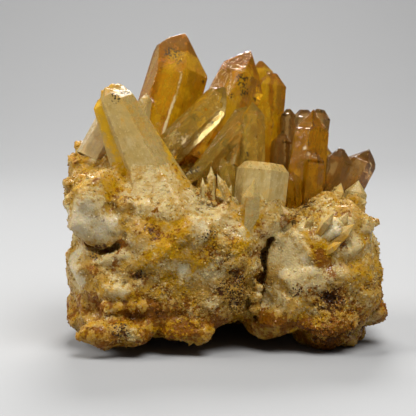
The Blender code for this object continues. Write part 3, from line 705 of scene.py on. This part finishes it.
def tip_frost(mesh):
    """1 on faces that look up, as the tip faces do. The stone there is frosted, and painted more stained
    as shade, since the most light falls there.
    """
    normals = np.zeros(len(mesh.vertices) * 3)
    mesh.vertices.foreach_get("normal", normals)
    return np.clip((normals.reshape(-1, 3)[:, 2] - 0.2) / 0.4, 0, 1)


# Faces that meet at less than FLAT_ANGLE are joined. Edges past WORN_ANGLE are worn, and those still past
# SHARP_ANGLE are shaded sharp.
FLAT_ANGLE = math.radians(0.6)
WORN_ANGLE = math.radians(12)
SHARP_ANGLE = math.radians(20)
KNOB_RISE = 0.75


def crystal_mesh(node, look, grain):
    """The node's crystal with worn edges, faces that swell as grown faces do, and knobs in some spots."""
    bm = merged_copy(node)
    bmesh.ops.dissolve_limit(bm, angle_limit=FLAT_ANGLE, verts=bm.verts, edges=bm.edges, delimit=set())
    outer = [
        edge for edge in bm.edges
        if edge.is_manifold and edge.is_convex and edge.calc_face_angle() > WORN_ANGLE
    ]
    bmesh.ops.bevel(
        bm, geom=outer, offset=look.edge_wear, segments=2, profile=0.5, affect="EDGES", clamp_overlap=True
    )
    shorten_edges(bm, grain)
    spots = unplace([vertex.co for vertex in bm.verts])
    knobby = patch_strength("knobby", spots)

    def worked(n, vertex):
        spot = Vector(spots[n])
        swell = noise.noise(spot / 7) + 0.5 * noise.noise(spot / 3 + SEEDS[0])
        knobs = facet(spot, 3.1, SEEDS[1]) + 0.7 * facet(spot, 1.7, SEEDS[2])
        return vertex.normal * (swell * look.face_swell + KNOB_RISE * knobby[n] * knobs * MM)

    shift_vertices(bm, worked)
    for edge in bm.edges:
        edge.smooth = not (edge.is_manifold and edge.calc_face_angle() > SHARP_ANGLE)
    for face in bm.faces:
        face.smooth = True
    mesh = take_mesh(node, bm)
    write_patches(mesh)
    write_attribute(mesh, "frost", tip_frost(mesh))
    write_growth(mesh)
    return mesh


def skirt(bm, node, low, high, depth):
    """Adds the crystal's foot to the block, swollen in front, so that the block's skin climbs up it.

    From low to high the swelling shrinks from depth to just under the crystal's face. All are millimetres.
    """
    foot = merged_copy(node)
    shorten_edges(foot, 2 * MM)

    def swollen(_, vertex):
        rise = min(max(((vertex.co - SEAT).z / MM - low) / (high - low), 0), 1)
        front = min(max(-1.6 * vertex.normal.y, 0), 1)
        return vertex.normal * (depth * (1 - rise) ** 2 * front - 0.5 * rise - 0.25) * MM

    shift_vertices(foot, swollen)
    mesh = take_mesh("foot", foot)
    bm.from_mesh(mesh)
    bpy.data.meshes.remove(mesh)


def nearness(mesh, nodes, reach):
    """How near each vertex is to these crystals: 1 at their faces, 0 from reach millimetres away."""
    shells = [BVHTree.FromBMesh(merged_copy(node)) for node in nodes]
    near = np.zeros(len(mesh.vertices))
    for n, vertex in enumerate(mesh.vertices):
        gaps = [shell.find_nearest(vertex.co, reach * MM)[3] for shell in shells]
        near[n] = max((1 - gap / (reach * MM) for gap in gaps if gap is not None), default=0)
    return near


RELAX_FACTOR = 0.6


def relax(piece, shares, rounds):
    """Smooths the piece's skin, by each vertex's share."""
    group = piece.vertex_groups.new(name="relax")
    for n in np.nonzero(shares > 0)[0]:
        group.add([int(n)], float(shares[n]), "REPLACE")
    smooth = piece.modifiers.new("Relax", "SMOOTH")
    smooth.factor = RELAX_FACTOR
    smooth.iterations = rounds
    smooth.vertex_group = group.name
    bake_modifiers(piece)
    piece.vertex_groups.clear()


def remeshed(name, bm, grain):
    """Melts closed shells together into one even skin."""
    piece = link_piece(name, take_mesh(name, bm))
    melt = piece.modifiers.new("Melt", "REMESH")
    melt.mode = "VOXEL"
    melt.voxel_size = grain
    bake_modifiers(piece)
    return piece


def thin_out(piece, triangles):
    """Leaves about this many triangles, the most where the skin bends most."""
    count = 2 * len(piece.data.polygons)
    if count <= triangles:
        return
    thin = piece.modifiers.new("Thin", "DECIMATE")
    thin.ratio = triangles / count
    bake_modifiers(piece)


# -----------------------------------------------------------------------------
# Small points

RIM_HOLLOW = 0.4  # how hollow the rim's points count as; the points' stone doesn't read it
POINT_FROST = 0.2
# Points at the block's rim: foot, tip and girth.
RIM_POINTS = (
    ((4, -30, 54), (-2.2, -27, 67.5), 1.7), ((-8, -28, 56), (-8.6, -26, 66.5), 1.4),
    ((-5, -27, 55), (-5.4, -24, 70), 1.8), ((-12, -28, 56), (-13, -27, 64.5), 1.3),
    ((-1, -29, 54), (2, -27, 64), 1.5), ((41, -17, 50), (45, -13, 62.5), 3.4),
    ((49, -10, 46), (52.5, -6, 62), 4.4), ((33, -30, 42), (40, -35, 54), 2.6),
    ((38, -30, 40), (47.5, -35.5, 50), 3.0), ((41, -29, 43), (46, -32, 54), 2.0),
    ((30, -30, 46), (33, -33, 53.5), 1.8), ((36, -31, 38), (43, -37, 44), 2.0),
    ((46, -26, 44), (53, -28, 52), 2.0),
    ((9.5, -30, 43), (10.8, -33.5, 65.5), 3.4), ((33, -24, 46), (36, -24, 55), 2.6),
    ((24, -26, 46), (22, -27, 56), 2.8), ((52, -18, 36), (56, -23, 45), 2.2),
)


class Tree:
    """A Geometry Nodes tree, and the identifiers of its inputs by name."""

    def __init__(self, name):
        self.group = bpy.data.node_groups.new(name, "GeometryNodeTree")
        self.group.is_modifier = True
        self.ids = {}

    def socket(self, name, kind, side="INPUT", default=None):
        made = self.group.interface.new_socket(name=name, in_out=side, socket_type=kind)
        if default is not None:
            made.default_value = default
        self.ids[name] = made.identifier

    def node(self, kind, settings=None, sockets=None):
        return add_node(self.group, kind, settings, sockets)

    def named(self, name, kind="FLOAT"):
        made = self.node("GeometryNodeInputNamedAttribute", {"data_type": kind}, {"Name": name})
        return made.outputs["Attribute"]

    def maths(self, operation, *values):
        return self.node("ShaderNodeMath", {"operation": operation}, dict(enumerate(values))).outputs[0]


def six_sided_point(tree, start):
    """A closed, six-sided point, one unit long in all."""
    body = tree.maths("SUBTRACT", 1.0, start.outputs["Tip share"])
    prism = tree.node(
        "GeometryNodeMeshCylinder", {"fill_type": "TRIANGLE_FAN"},
        {"Vertices": 6, "Radius": 1.0, "Depth": body},
    )
    where = tree.node("ShaderNodeSeparateXYZ", None, {0: tree.node("GeometryNodeInputPosition").outputs[0]})
    reach = tree.maths(
        "ADD", tree.maths("ABSOLUTE", where.outputs["X"]), tree.maths("ABSOLUTE", where.outputs["Y"])
    )
    middle = tree.node("FunctionNodeCompare", {"operation": "LESS_THAN"}, {0: reach, 1: 0.01})
    top = tree.node("FunctionNodeCompare", {"operation": "GREATER_THAN"}, {0: where.outputs["Z"], 1: 0.0})
    both = {0: middle.outputs[0], 1: top.outputs[0]}
    apex = tree.node("FunctionNodeBooleanMath", {"operation": "AND"}, both)
    rise = tree.node("ShaderNodeCombineXYZ", None, {"Z": start.outputs["Tip share"]})
    pointed = tree.node("GeometryNodeSetPosition", None, {
        "Geometry": prism.outputs["Mesh"], "Selection": apex.outputs[0], "Offset": rise.outputs[0],
    })
    return pointed.outputs["Geometry"]


def eight_sided_chip(tree, start):
    """A closed chip with eight faces, as thick across as the flatness says."""
    ball = tree.node("GeometryNodeMeshUVSphere", None, {"Segments": 4, "Rings": 2, "Radius": 1.0})
    flat = tree.node("ShaderNodeCombineXYZ", None, {"X": 1.0, "Y": start.outputs["Flatness"], "Z": 1.0})
    chip = tree.node(
        "GeometryNodeTransform", None, {"Geometry": ball.outputs["Mesh"], "Scale": flat.outputs[0]}
    )
    return chip.outputs["Geometry"]


SLIMNESS = 0.72  # a stamp's second width over its first


def stamp_tree(name, shape, measure):
    """One of the shape at every vertex, turned along aim and sized by girth and length.

    measure is the name of the input that the shape is made by.
    """
    tree = Tree(name)
    tree.socket("Cloud", "NodeSocketGeometry")
    tree.socket(measure, "NodeSocketFloat", default=0.35)
    tree.socket("Stone", "NodeSocketMaterial")
    tree.socket("Points", "NodeSocketGeometry", side="OUTPUT")
    start = tree.node("NodeGroupInput")
    stamp = shape(tree, start)
    turn = tree.node(
        "FunctionNodeAlignRotationToVector", {"axis": "Z"}, {"Vector": tree.named("aim", "FLOAT_VECTOR")}
    )
    about = tree.node("FunctionNodeAxisAngleToRotation", None, {"Angle": tree.named("turn")})
    spin = tree.node(
        "FunctionNodeRotateRotation", {"rotation_space": "LOCAL"},
        {"Rotation": turn.outputs[0], "Rotate By": about.outputs[0]},
    )
    girth = tree.named("girth")
    slim = tree.maths("MULTIPLY", girth, SLIMNESS)
    size = tree.node("ShaderNodeCombineXYZ", None, {"X": girth, "Y": slim, "Z": tree.named("length")})
    stamped = tree.node("GeometryNodeInstanceOnPoints", None, {
        "Points": start.outputs["Cloud"], "Instance": stamp,
        "Rotation": spin.outputs[0], "Scale": size.outputs[0],
    })
    real = tree.node("GeometryNodeRealizeInstances", None, {"Geometry": stamped.outputs[0]})
    dressed = tree.node(
        "GeometryNodeSetMaterial", None, {"Geometry": real.outputs[0], "Material": start.outputs["Stone"]}
    )
    tree.node("NodeGroupOutput", None, {"Points": dressed.outputs[0]})
    return tree


def stamped_piece(name, tree, rows, inputs):
    """A piece with one stamp for each row: its middle, direction, girth, length, turn and hollow, in metres.

    inputs gives the tree's inputs by name.
    """
    mesh = bpy.data.meshes.new(name)
    mesh.from_pydata([row[0] for row in rows], [], [])
    aim = mesh.attributes.new("aim", "FLOAT_VECTOR", "POINT")
    aim.data.foreach_set("vector", [number for row in rows for number in row[1]])
    for column, key in ((2, "girth"), (3, "length"), (4, "turn"), (5, "hollow")):
        layer = mesh.attributes.new(key, "FLOAT", "POINT")
        layer.data.foreach_set("value", [row[column] for row in rows])
    piece = link_piece(name, mesh)
    grow = piece.modifiers.new("Grow", "NODES")
    grow.node_group = tree.group
    for key, value in inputs.items():
        grow[tree.ids[key]] = value
    bake_modifiers(piece)
    return piece


CRYSTAL_FEET = 44 * MM  # the lowest that any crystal comes out of the block
CLEARANCE = 3 * MM  # the least room between a spot on the skin and a crystal


def scatter(rock, count, dice, likes, girths, shapes, sunk, lean):
    """Rows for points that stand on the block's skin at random, clear of the crystals' feet.

    likes gives the odds of a spot. girths is the range of girths in millimetres, and shapes the range of
    length over girth. sunk is the share below the skin, and lean how far a point may turn from the skin's
    own direction.
    """
    mesh = rock.data
    crystals = [node for node in frame["nodes"] if node != "milky_quartz_base"]
    shells = [BVHTree.FromBMesh(merged_copy(node)) for node in crystals]
    areas = np.zeros(len(mesh.polygons))
    mesh.polygons.foreach_get("area", areas)
    ladder = np.cumsum(areas * likes(centres_of(mesh)))
    rows = []
    while len(rows) < count:
        polygon = mesh.polygons[int(np.searchsorted(ladder, dice.random() * ladder[-1]))]
        out = Vector(polygon.normal)
        if polygon.center.z > CRYSTAL_FEET:
            if any(shell.ray_cast(polygon.center, out, CLEARANCE)[0] for shell in shells):
                continue
        girth = dice.uniform(*girths) * MM
        length = girth * dice.uniform(*shapes)
        aim = (out + lean * Vector([dice.uniform(-1, 1) for _ in range(3)])).normalized()
        middle = polygon.center + aim * length * (0.5 - sunk)
        if middle.z < length:
            continue
        rows.append((middle, aim, girth, length, dice.uniform(0, math.tau), dice.uniform(0.1, 0.8)))
    return rows


# -----------------------------------------------------------------------------
# Settings


def length_property(name, description, default, **limits):
    return FloatProperty(
        name=name, description=description, default=default, precision=5, unit="LENGTH",
        subtype="DISTANCE", **limits,
    )


def colour_property(name, description, default):
    return FloatVectorProperty(
        name=name, description=description, default=default, size=3, min=0, max=1, subtype="COLOR",
    )


class QuartzBlock(bpy.types.PropertyGroup):
    """Sizes of the block's skin."""

    grain: length_property(
        "Grain", "Cell size of the block's skin", 0.62 * MM, min=0.3 * MM, max=3 * MM,
    )
    triangles: IntProperty(
        name="Triangles", description="Most triangles in the block's skin", default=185000, min=1000,
    )
    point_count: IntProperty(
        name="Small points", description="How many small points stand on the block", default=80, min=0,
    )
    crumb_count: IntProperty(
        name="Crumbs", description="How many crumbs of quartz lie in the block's skin", default=15000, min=0,
    )


class QuartzCrystals(bpy.types.PropertyGroup):
    """Sizes of the crystals' edges and faces."""

    edge_wear: length_property("Edge wear", "Width worn off each outer edge", 0.25 * MM)
    face_swell: length_property("Face swell", "How far a face rises and sinks", 0.09 * MM)
    crystal_grain: length_property("Crystal grain", "Longest edge in a crystal's mesh", 1.6 * MM)


class QuartzColours(bpy.types.PropertyGroup):
    """Linear colours of the stones and stains."""

    matrix_white: colour_property("Milky white", "Milky quartz", (0.48, 0.365, 0.165))
    matrix_chalk: colour_property("Chalk white", "Purest milky quartz", (0.54, 0.45, 0.28))
    matrix_cream: colour_property("Cream", "Body of the block", (0.35, 0.20, 0.035))
    stain_yellow: colour_property("Yellow stain", "Thin iron stain", (0.39, 0.20, 0.0008))
    stain_rust: colour_property("Rust", "Thick iron stain", (0.19, 0.063, 0.0003))
    # The umber colour is iron stain and painted shade, in the block's hollows, low down and in its shade
    # patches.
    umber_stain_and_shade: colour_property("Umber", "Stain in the deepest hollows", (0.07, 0.02, 0.0005))
    speck: colour_property("Speck", "Dark mineral specks", (0.04, 0.02, 0.01))
    wall: colour_property("Wall", "Table and backdrop", (0.30, 0.30, 0.30))


class QuartzCluster(bpy.types.PropertyGroup):
    """Everything that a user would change."""

    block: PointerProperty(type=QuartzBlock)
    crystals: PointerProperty(type=QuartzCrystals)
    colours: PointerProperty(type=QuartzColours)


# Where the block's clefts, and the gap at the clear crystal's foot, are filled with stone: middle and radius.
FILLINGS = (
    ((-38.5, -32.5, 58), 4.0), ((-38.5, -33, 53.5), 3.6), ((-39, -33.5, 49.5), 3.2), ((-40, -34, 46), 2.4),
    ((-45, -36, 19.5), 3.0), ((-40.5, -36.5, 19.5), 3.0), ((-36, -36.5, 20), 2.8), ((-31.5, -36.5, 20), 3.0),
    ((-58, -4.5, 71), 3.6), ((-54.5, -6, 71.5), 3.6), ((-51, -6.5, 70.5), 3.2), ((-59.5, 0, 71.5), 3.6),
    ((-27, -36, 20), 2.6), ((11.7, -30.5, 22), 2.6), ((11.5, -30, 17.5), 2.6), ((13, -30.5, 26), 1.8),
)

# How the block's skin is broken, in the order that break_surface() takes.
ROCK_LAYERS = ((9, 0.13, 1.0), (3.6, 0.24, 0.5), (1.8, 0.38, 0.3))
ROCK_SWELL = (1.2, 0.2)


# -----------------------------------------------------------------------------
# Operators


class QUARTZ_OT_block(bpy.types.Operator):
    """Builds the rough block of milky quartz"""

    bl_idname = "quartz.block"
    bl_label = "Milky Quartz Block"

    def execute(self, context):
        sizes = context.scene.quartz.block
        lump = merged_copy("milky_quartz_base")
        skirt(lump, "leaning_milky_crystal", low=58, high=84, depth=3.4)
        skirt(lump, "milky_block_crystal", low=52, high=68, depth=2.0)
        for spot, size in FILLINGS:
            bmesh.ops.create_icosphere(
                lump, subdivisions=2, radius=size * MM, matrix=Matrix.Translation(place(spot))
            )
        rock = remeshed("milky_block", lump, sizes.grain)
        near = nearness(rock.data, ROUGH_CRYSTALS, reach=6)
        relax(rock, near, rounds=12)
        calm = np.maximum(near * 0.9, patch_strength("milk", spots_of(rock.data)) * 0.45)
        break_surface(rock.data, ROCK_LAYERS, ROCK_SWELL, calm)
        thin_out(rock, sizes.triangles)
        self.crisp(rock.data)
        write_patches(rock.data)
        stone = matrix_stone("milky_matrix_stone", context.scene.quartz.colours, soft=0.6)
        finish_piece(rock, stone, "milky_matrix", "milky_quartz_base")
        return {"FINISHED"}

    @staticmethod
    def crisp(mesh):
        """Shades the grainy stone flat, so that its grains glint, and the rest smooth."""
        grainy = patch_strength("grainy", centres_of(mesh))
        mesh.polygons.foreach_set("use_smooth", grainy < 0.5)


class QUARTZ_OT_small_points(bpy.types.Operator):
    """Grows the small points and the crumbs on the block's skin"""

    bl_idname = "quartz.small_points"
    bl_label = "Small Points and Crumbs"

    def execute(self, context):
        rock = bpy.data.objects["milky_block"]
        sizes = context.scene.quartz.block
        dice = random.Random(5)
        druse = scatter(
            rock, sizes.point_count, dice, self.druse_odds,
            girths=(0.5, 1.3), shapes=(1.8, 3.2), sunk=0.45, lean=0.6,
        )
        stone = crystal_stone(
            "small_quartz_points", body=(0.48, 0.35, 0.12), veil=(0.55, 0.45, 0.26), stain=(0.42, 0.22, 0.02),
            tint=(0.95, 0.82, 0.5), clear=0.1, absorbs=(0.97, 0.88, 0.6), density=60,
            polish=0.2, haze=0.4,
        )
        tree = stamp_tree("quartz_points", six_sided_point, "Tip share")
        points = stamped_piece("small_points", tree, self.rim() + druse, {"Tip share": 0.3, "Stone": stone})
        write_patches(points.data)
        write_attribute(points.data, "frost", np.full(len(points.data.vertices), POINT_FROST))
        finish_piece(points, stone, "milky_matrix")
        chips = scatter(
            rock, sizes.crumb_count, dice, self.crumb_odds,
            girths=(0.25, 0.8), shapes=(0.6, 1.6), sunk=0.8, lean=1.6,
        )
        stone = matrix_stone("milky_grain_stone", context.scene.quartz.colours, soft=0.0)
        tree = stamp_tree("quartz_chips", eight_sided_chip, "Flatness")
        crumbs = stamped_piece("quartz_crumbs", tree, chips, {"Flatness": 0.7, "Stone": stone})
        write_patches(crumbs.data)
        finish_piece(crumbs, stone, "milky_matrix")
        return {"FINISHED"}

    @staticmethod
    def rim():
        """Rows for the points at the block's rim, each turned its own way about its length."""
        rows = []
        for number, (foot, tip, girth) in enumerate(RIM_POINTS):
            start, end = place(foot), place(tip)
            middle, reach = (start + end) / 2, end - start
            rows.append((middle, reach.normalized(), girth * MM, reach.length, 0.2 + number, RIM_HOLLOW))
        return rows

    @staticmethod
    def druse_odds(spots):
        """Most on the block's top, right of the leaning crystal, and some on its back."""
        top = (spots[:, 2] > 55) & (spots[:, 0] > -20)
        back = spots[:, 1] > 20
        return 0.01 + top * 1.0 + back * 0.15

    @staticmethod
    def crumb_odds(spots):
        """Most where the stone is grainy, and on the block's front and top."""
        shown = (spots[:, 1] < -12) | (spots[:, 2] > 48)
        smooth = np.maximum(patch_strength("milk", spots), patch_strength("veil", spots))
        return (0.22 + patch_strength("grainy", spots)) * (0.3 + 0.7 * shown) * (1 - 0.9 * smooth)


class QUARTZ_OT_crystals(bpy.types.Operator):
    """Builds the clear, golden, smoky and brown crystals"""

    bl_idname = "quartz.crystals"
    bl_label = "Clear Crystals"

    def execute(self, context):
        stones = {
            "golden_point": crystal_stone(
                "golden_quartz", body=(0.38, 0.17, 0.002), veil=(0.44, 0.25, 0.03), stain=(0.38, 0.14, 0.0),
                tint=(0.98, 0.62, 0.025), clear=0.5, absorbs=(0.98, 0.88, 0.2), density=60,
            ),
            "smoky_point": crystal_stone(
                "smoky_quartz", body=(0.42, 0.26, 0.03), veil=(0.48, 0.34, 0.10), stain=(0.42, 0.20, 0.001),
                tint=(0.97, 0.83, 0.45), clear=0.55, absorbs=(0.93, 0.86, 0.5), density=40,
                stained=(0.2, 0.9),
            ),
            "brown_point": crystal_stone(
                "brown_quartz", body=(0.21, 0.10, 0.013), veil=(0.32, 0.18, 0.045),
                stain=(0.23, 0.095, 0.005),
                tint=(0.78, 0.50, 0.19), clear=0.5, absorbs=(0.90, 0.75, 0.4), density=50,
            ),
            "clear_point": crystal_stone(
                "clear_quartz", body=(0.62, 0.46, 0.21), veil=(0.68, 0.54, 0.30), stain=(0.56, 0.33, 0.06),
                tint=(0.98, 0.88, 0.66), clear=0.25, absorbs=(0.97, 0.9, 0.7), density=60,
                stained=(0.4, 0.9),
            ),
        }
        look = context.scene.quartz.crystals
        for node, slot in CRYSTALS.items():
            mesh = crystal_mesh(node, look, look.crystal_grain)
            piece = link_piece(node.replace("_crystal", "_quartz"), mesh)
            finish_piece(piece, stones[slot], slot, node)
        return {"FINISHED"}


class QUARTZ_OT_milky_crystals(bpy.types.Operator):
    """Builds the rough, milky crystals at the front"""

    bl_idname = "quartz.milky_crystals"
    bl_label = "Milky Crystals"

    def execute(self, context):
        stone = crystal_stone(
            "milky_quartz", body=(0.42, 0.29, 0.09), veil=(0.48, 0.38, 0.19), stain=(0.42, 0.22, 0.02),
            tint=(0.92, 0.78, 0.42), clear=0.15, absorbs=(0.97, 0.86, 0.5), density=70, stained=(0.15, 1.0),
            polish=0.12, haze=0.4,
        )
        look = context.scene.quartz.crystals
        for node in ROUGH_CRYSTALS:
            mesh = crystal_mesh(node, look, look.crystal_grain * 0.7)
            piece = link_piece(node.replace("_crystal", "_quartz"), mesh)
            finish_piece(piece, stone, "milky_point", node)
        return {"FINISHED"}


# The camera: the spot it aims at, its distance from there and its angle above, and the width it takes in.
AIM = (-6.6, 0.0, 52.6)
CAMERA_DISTANCE = 0.7
CAMERA_ELEVATION = math.radians(8)
VIEW_WIDTH = 0.1664
SENSOR = 36.0

# Painted shade: the backdrop darkens to this share of its colour, this many millimetres behind the cluster.
FAR_SHADE = 0.65
FAR = 900

# The lamps: name, degrees right of the camera's side, degrees up, metres across, power and colour.
LAMPS = (
    ("left_light", -82, 42, 0.6, 8.5, (1.0, 0.99, 0.97)),
    ("front_light", 25, 60, 0.6, 11.5, (1.0, 1.0, 1.0)),
    ("back_light", 180, 46, 0.4, 11.0, (1.0, 1.0, 1.0)),
)


class QUARTZ_OT_stage(bpy.types.Operator):
    """Sets up the table and backdrop, the lights and the camera"""

    bl_idname = "quartz.stage"
    bl_label = "Table, Lights and Camera"

    def execute(self, context):
        sweep = self.sweep()
        finish = Finish("pale_table")
        pale = context.scene.quartz.colours.wall
        # painted shade: the table and backdrop darken with distance behind the cluster, standing in for light
        # that falls off
        far = finish.step(finish.along("Y"), 0, FAR)
        shade = finish.mix(far, opaque(pale), opaque([FAR_SHADE * share for share in pale]))
        wall = finish.stone(Base_Color=shade, Roughness=0.9)
        sweep.data.materials.append(finish.close(wall))
        for row in LAMPS:
            self.lamp(*row)
        self.surroundings(context.scene)
        self.camera(context.scene)
        context.scene.view_settings.view_transform = "Standard"
        return {"FINISHED"}

    def sweep(self):
        """A table top that curves up into a wall behind the cluster."""
        reach, rise, bend = 0.9, 1.1, 0.35
        profile = [(-3.0, 0.0)]
        for n in range(13):
            turn = math.radians(90) * n / 12
            profile.append((reach - bend + bend * math.sin(turn), bend - bend * math.cos(turn)))
        profile.append((reach, rise))
        bm = bmesh.new()
        rows = [[bm.verts.new((side, y, z)) for y, z in profile] for side in (-2.4, 2.4)]
        for n in range(len(profile) - 1):
            face = bm.faces.new((rows[0][n], rows[1][n], rows[1][n + 1], rows[0][n + 1]))
            face.smooth = True
        return link_piece("table_sweep", take_mesh("table_sweep", bm))

    def lamp(self, name, turn, rise, size, power, colour):
        """A round lamp a metre off, so many degrees right of the camera's side and above the table."""
        turn, rise = math.radians(turn), math.radians(rise)
        level = math.cos(rise)
        spot = Vector((math.sin(turn) * level, -math.cos(turn) * level, math.sin(rise)))
        light = bpy.data.lights.new(name, "AREA")
        light.shape = "DISK"
        light.size = size
        light.energy = power
        light.color = colour
        lamp = bpy.data.objects.new(name, light)
        lamp.location = spot
        lamp.rotation_euler = (Vector((0, 0, 0.05)) - spot).to_track_quat("-Z", "Y").to_euler()
        bpy.context.scene.collection.objects.link(lamp)

    def surroundings(self, scene):
        world = bpy.data.worlds.new("studio")
        world.use_nodes = True
        background = world.node_tree.nodes["Background"]
        background.inputs["Color"].default_value = (0.93, 0.96, 1.0, 1)
        background.inputs["Strength"].default_value = 0.1
        scene.world = world

    def camera(self, scene):
        lens = bpy.data.cameras.new("camera")
        lens.sensor_width = SENSOR
        lens.lens = SENSOR * CAMERA_DISTANCE / VIEW_WIDTH
        lens.clip_start = 0.01
        camera = bpy.data.objects.new("camera", lens)
        towards = Vector((0, math.cos(CAMERA_ELEVATION), -math.sin(CAMERA_ELEVATION)))
        camera.location = place(AIM) - towards * CAMERA_DISTANCE
        camera.rotation_euler = towards.to_track_quat("-Z", "Y").to_euler()
        scene.collection.objects.link(camera)
        scene.camera = camera


class QUARTZ_PT_cluster(bpy.types.Panel):
    """Lists the cluster's pieces and settings"""

    bl_idname = "QUARTZ_PT_cluster"
    bl_label = "Quartz Cluster"
    bl_space_type = "VIEW_3D"
    bl_region_type = "UI"
    bl_category = "Quartz"

    def draw(self, context):
        quartz = context.scene.quartz
        for operator in OPERATORS:
            self.layout.operator(operator.bl_idname)
        for group in (quartz.block, quartz.crystals, quartz.colours):
            box = self.layout.box()
            for key in group.bl_rna.properties.keys():
                if key not in ("rna_type", "name"):
                    box.prop(group, key)


OPERATORS = (
    QUARTZ_OT_block, QUARTZ_OT_small_points, QUARTZ_OT_crystals, QUARTZ_OT_milky_crystals, QUARTZ_OT_stage,
)
CLASSES = (QuartzBlock, QuartzCrystals, QuartzColours, QuartzCluster, *OPERATORS, QUARTZ_PT_cluster)


def register():
    for cls in CLASSES:
        bpy.utils.register_class(cls)
    bpy.types.Scene.quartz = PointerProperty(type=QuartzCluster)


def unregister():
    del bpy.types.Scene.quartz
    for cls in reversed(CLASSES):
        bpy.utils.unregister_class(cls)


def main():
    register()
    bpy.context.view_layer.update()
    bpy.ops.quartz.block()
    bpy.ops.quartz.small_points()
    bpy.ops.quartz.crystals()
    bpy.ops.quartz.milky_crystals()
    bpy.ops.quartz.stage()


if __name__ == "__main__":
    main()
